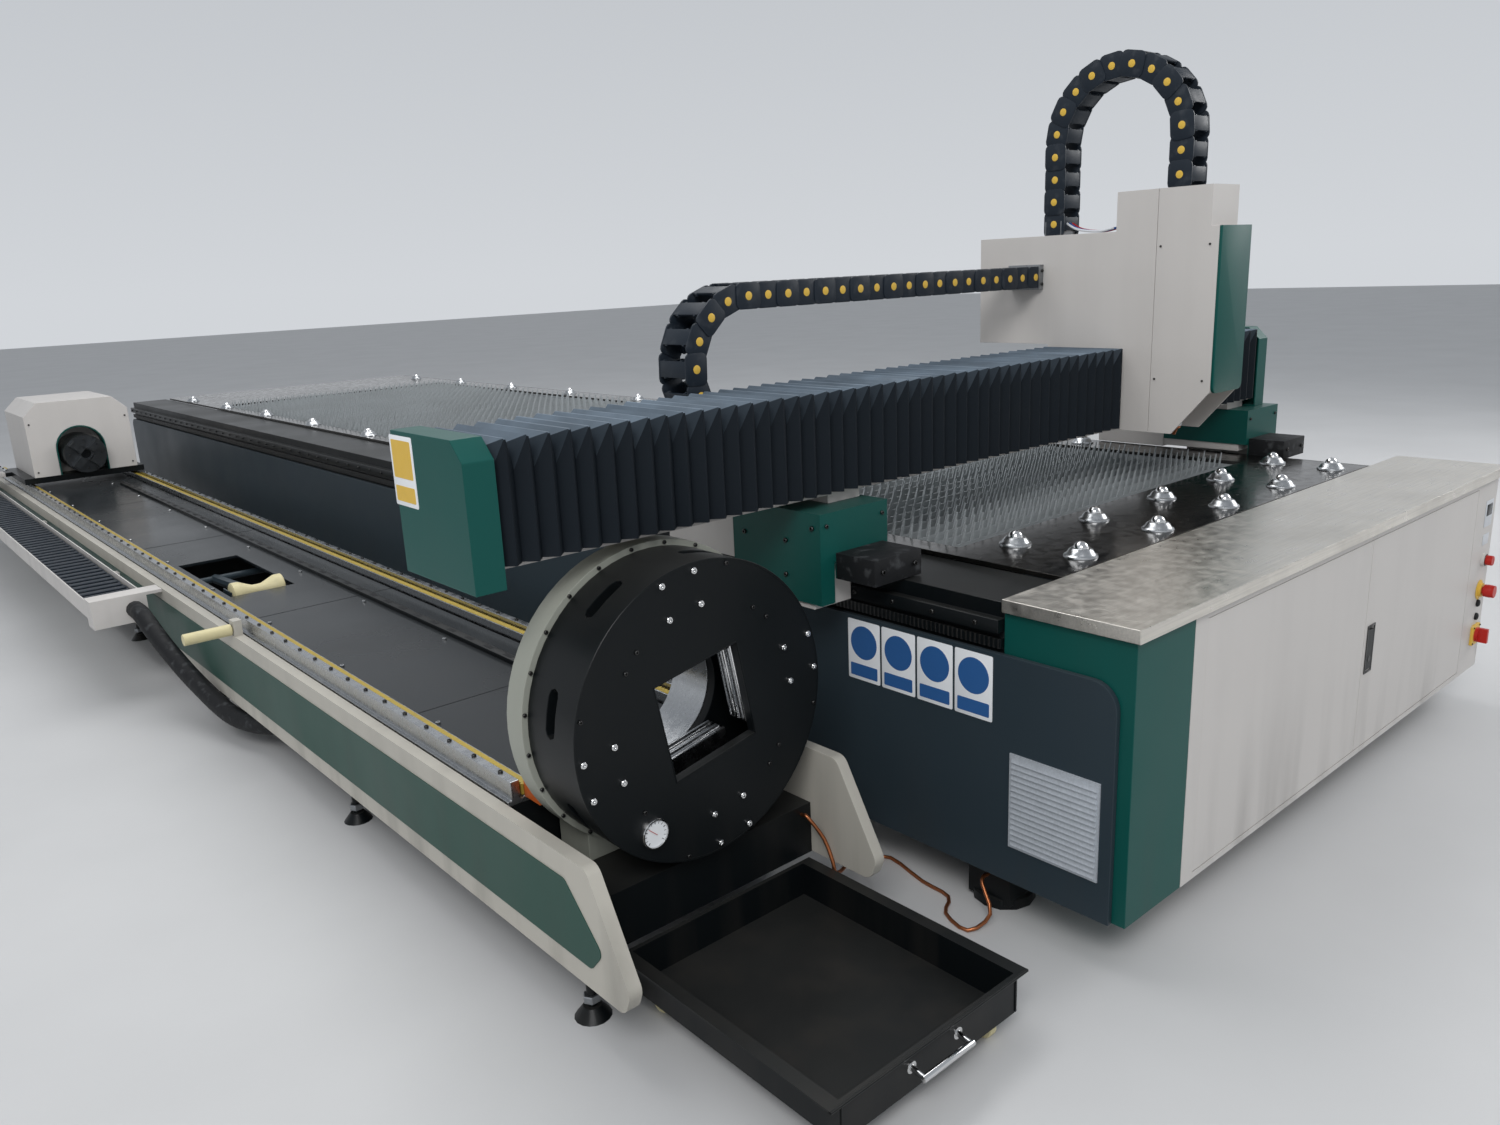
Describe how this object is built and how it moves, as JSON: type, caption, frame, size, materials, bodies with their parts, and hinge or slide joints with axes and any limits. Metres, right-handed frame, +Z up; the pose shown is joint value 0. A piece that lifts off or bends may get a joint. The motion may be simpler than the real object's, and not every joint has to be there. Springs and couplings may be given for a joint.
{
  "type": "fiber laser cutting machine",
  "caption": "Gantry laser cutting machine with a slatted sheet bed and a rotary tube bed with chuck, bellows, energy chains, cabinet and scrap drawer.",
  "frame": {"origin": "centre of the whole machine's bounding box, on the floor", "axes": "+X to the right seen from the cabinet, +Y along the beds to the far end, +Z up"},
  "size_m": [3.375, 7.825, 2.0501],
  "materials": {
    "teal_green_paint": "semi-gloss",
    "warm_white_paint": "fine texture",
    "slate_grey_paint": "semi-gloss",
    "black_paint": "satin",
    "stainless_steel": "brushed",
    "ground_steel": "ground",
    "galvanised_steel": "matt",
    "coated_fabric": "matt",
    "chain_plastic": "matt",
    "cream_plastic": "satin",
    "cream_paint": "satin",
    "red_plastic": "gloss",
    "hose_rubber": "matt",
    "copper": "braided"
  },
  "bodies": {
    "machine": {"bed_frame": "black_paint", "bed_side_panel_left": "slate_grey_paint", "bed_side_panel_right": "slate_grey_paint", "cabinet": "warm_white_paint", "corner_column": "teal_green_paint", "worktop": "stainless_steel", "vent_grille": "warm_white_paint", "gantry_guide_left": "black_paint", "gantry_guide_right": "black_paint", "slat_table": "galvanised_steel", "table_deck": "stainless_steel", "tube_bed_frame": "black_paint", "tube_bed_panel_left": "warm_white_paint", "tube_bed_panel_right": "warm_white_paint", "tube_bed_inset": "teal_green_paint", "tube_bed_deck": "black_paint", "tube_rail_left": "ground_steel", "tube_rail_right": "ground_steel", "chuck_housing": "cream_paint", "cable_tray": "warm_white_paint", "tray_energy_chain": "chain_plastic", "supply_hose": "hose_rubber", "earthing_braid": "copper"},
    "gantry": {"gantry_beam": "warm_white_paint", "beam_cap_left": "teal_green_paint", "beam_cap_right": "teal_green_paint", "bellows_left": "coated_fabric", "bellows_right": "coated_fabric", "gantry_carriage_left": "warm_white_paint", "gantry_carriage_right": "warm_white_paint", "carriage_cover_left": "teal_green_paint", "carriage_cover_right": "teal_green_paint", "beam_energy_chain": "chain_plastic"},
    "head": {"head_cover": "warm_white_paint"},
    "lift": {"lift_cover": "warm_white_paint", "cutting_head": "slate_grey_paint", "head_energy_chain": "chain_plastic"},
    "chuck": {"chuck_disc": "black_paint", "chuck_sleeve": "ground_steel"},
    "jaw_right": {"chuck_jaw_right": "ground_steel"},
    "jaw_left": {"chuck_jaw_left": "ground_steel"},
    "jaw_top": {"chuck_jaw_top": "ground_steel"},
    "jaw_bottom": {"chuck_jaw_bottom": "ground_steel"},
    "tail": {"tail_housing": "warm_white_paint", "tail_base": "black_paint"},
    "tail_spindle": {"tail_chuck": "ground_steel"},
    "drawer": {"scrap_drawer": "black_paint"},
    "wheel_front_left": {"drawer_wheel_front_left": "cream_plastic"},
    "wheel_front_right": {"drawer_wheel_front_right": "cream_plastic"},
    "wheel_rear_left": {"drawer_wheel_rear_left": "cream_plastic"},
    "wheel_rear_right": {"drawer_wheel_rear_right": "cream_plastic"},
    "arm": {"support_arm": "slate_grey_paint"},
    "waisted_roller": {"support_roller": "cream_plastic"},
    "edge_roller": {"side_roller": "cream_plastic"},
    "main_switch": {"main_switch_knob": "red_plastic"},
    "stop": {"emergency_stop_button": "red_plastic"},
    "start": {"start_button": "red_plastic"},
    "door_left": {"cabinet_door_left": "warm_white_paint"},
    "door_right": {"cabinet_door_right": "warm_white_paint"},
    "lever": {"door_handle": "black_paint"}
  },
  "joints": [
    {"name": "gantry_y", "type": "slide", "parent": "machine", "child": "gantry", "axis": [0, 1, 0], "range_m": [-0.28, 6.3]},
    {"name": "head_x", "type": "slide", "parent": "gantry", "child": "head", "axis": [1, 0, 0], "range_m": [-1.86, 0.52], "deforming": ["bellows_left", "bellows_right", "beam_energy_chain"]},
    {"name": "head_z", "type": "slide", "parent": "head", "child": "lift", "axis": [0, 0, 1], "range_m": [-0.13, 0.2], "deforming": ["head_energy_chain"]},
    {"name": "chuck_spin", "type": "hinge", "parent": "machine", "child": "chuck", "pos_m": [-1.091, -3.2375, 0.6085], "axis": [0, 1, 0], "continuous": true},
    {"name": "jaw_right_slide", "type": "slide", "parent": "chuck", "child": "jaw_right", "axis": [-0.9826, 0, -0.1857], "range_m": [0, 0.085]},
    {"name": "jaw_left_slide", "type": "slide", "parent": "chuck", "child": "jaw_left", "axis": [0.9826, 0, 0.1857], "range_m": [0, 0.085]},
    {"name": "jaw_top_slide", "type": "slide", "parent": "chuck", "child": "jaw_top", "axis": [0.1857, 0, -0.9826], "range_m": [0, 0.085]},
    {"name": "jaw_bottom_slide", "type": "slide", "parent": "chuck", "child": "jaw_bottom", "axis": [-0.1857, 0, 0.9826], "range_m": [0, 0.085]},
    {"name": "tail_y", "type": "slide", "parent": "machine", "child": "tail", "axis": [0, 1, 0], "range_m": [-5.2, 0], "deforming": ["tray_energy_chain"]},
    {"name": "tail_spin", "type": "hinge", "parent": "tail", "child": "tail_spindle", "pos_m": [-1.091, 2.5525, 0.6085], "axis": [0, 1, 0], "continuous": true},
    {"name": "drawer_roll", "type": "slide", "parent": "machine", "child": "drawer", "axis": [0, 1, 0], "range_m": [0, 0.6]},
    {"name": "wheel_front_left_spin", "type": "hinge", "parent": "drawer", "child": "wheel_front_left", "pos_m": [-1.2675, -3.7705, 0.025], "axis": [1, 0, 0], "continuous": true},
    {"name": "wheel_front_right_spin", "type": "hinge", "parent": "drawer", "child": "wheel_front_right", "pos_m": [-0.8595, -3.7705, 0.025], "axis": [1, 0, 0], "continuous": true},
    {"name": "wheel_rear_left_spin", "type": "hinge", "parent": "drawer", "child": "wheel_rear_left", "pos_m": [-1.2675, -3.2605, 0.025], "axis": [1, 0, 0], "continuous": true},
    {"name": "wheel_rear_right_spin", "type": "hinge", "parent": "drawer", "child": "wheel_rear_right", "pos_m": [-0.8595, -3.2605, 0.025], "axis": [1, 0, 0], "continuous": true},
    {"name": "arm_tilt", "type": "hinge", "parent": "machine", "child": "arm", "pos_m": [-1.1825, -0.1075, 0.345], "axis": [-1, 0, 0], "range_deg": [0, 35]},
    {"name": "waisted_roller_spin", "type": "hinge", "parent": "arm", "child": "waisted_roller", "pos_m": [-1.1825, -0.6475, 0.4], "axis": [1, 0, 0], "continuous": true},
    {"name": "edge_roller_spin", "type": "hinge", "parent": "machine", "child": "edge_roller", "pos_m": [-1.4125, -1.2075, 0.43], "axis": [1, 0, 0], "continuous": true},
    {"name": "main_switch_turn", "type": "hinge", "parent": "machine", "child": "main_switch", "pos_m": [1.5875, -3.8758, 0.24], "axis": [0, 1, 0], "range_deg": [0, 90]},
    {"name": "stop_press", "type": "slide", "parent": "machine", "child": "stop", "axis": [0, 1, 0], "range_m": [0, 0.006]},
    {"name": "start_press", "type": "slide", "parent": "machine", "child": "start", "axis": [0, 1, 0], "range_m": [0, 0.006], "stiffness_N_per_m": 1500},
    {"name": "door_left_swing", "type": "hinge", "parent": "machine", "child": "door_left", "pos_m": [-0.2302, -3.8675, 0.436], "axis": [0, 0, -1], "range_deg": [0, 110]},
    {"name": "door_right_swing", "type": "hinge", "parent": "machine", "child": "door_right", "pos_m": [1.4722, -3.8675, 0.436], "axis": [0, 0, 1], "range_deg": [0, 110]},
    {"name": "lever_turn", "type": "hinge", "parent": "door_right", "child": "lever", "pos_m": [0.693, -3.8615, 0.4765], "axis": [-1, 0, 0], "range_deg": [0, 70]}
  ],
  "couplings": [
    {"joint": "jaw_left_slide", "follows": "jaw_right_slide", "ratio": 1},
    {"joint": "jaw_bottom_slide", "follows": "jaw_top_slide", "ratio": 1},
    {"joint": "tail_spin", "follows": "chuck_spin", "ratio": 1}
  ]
}
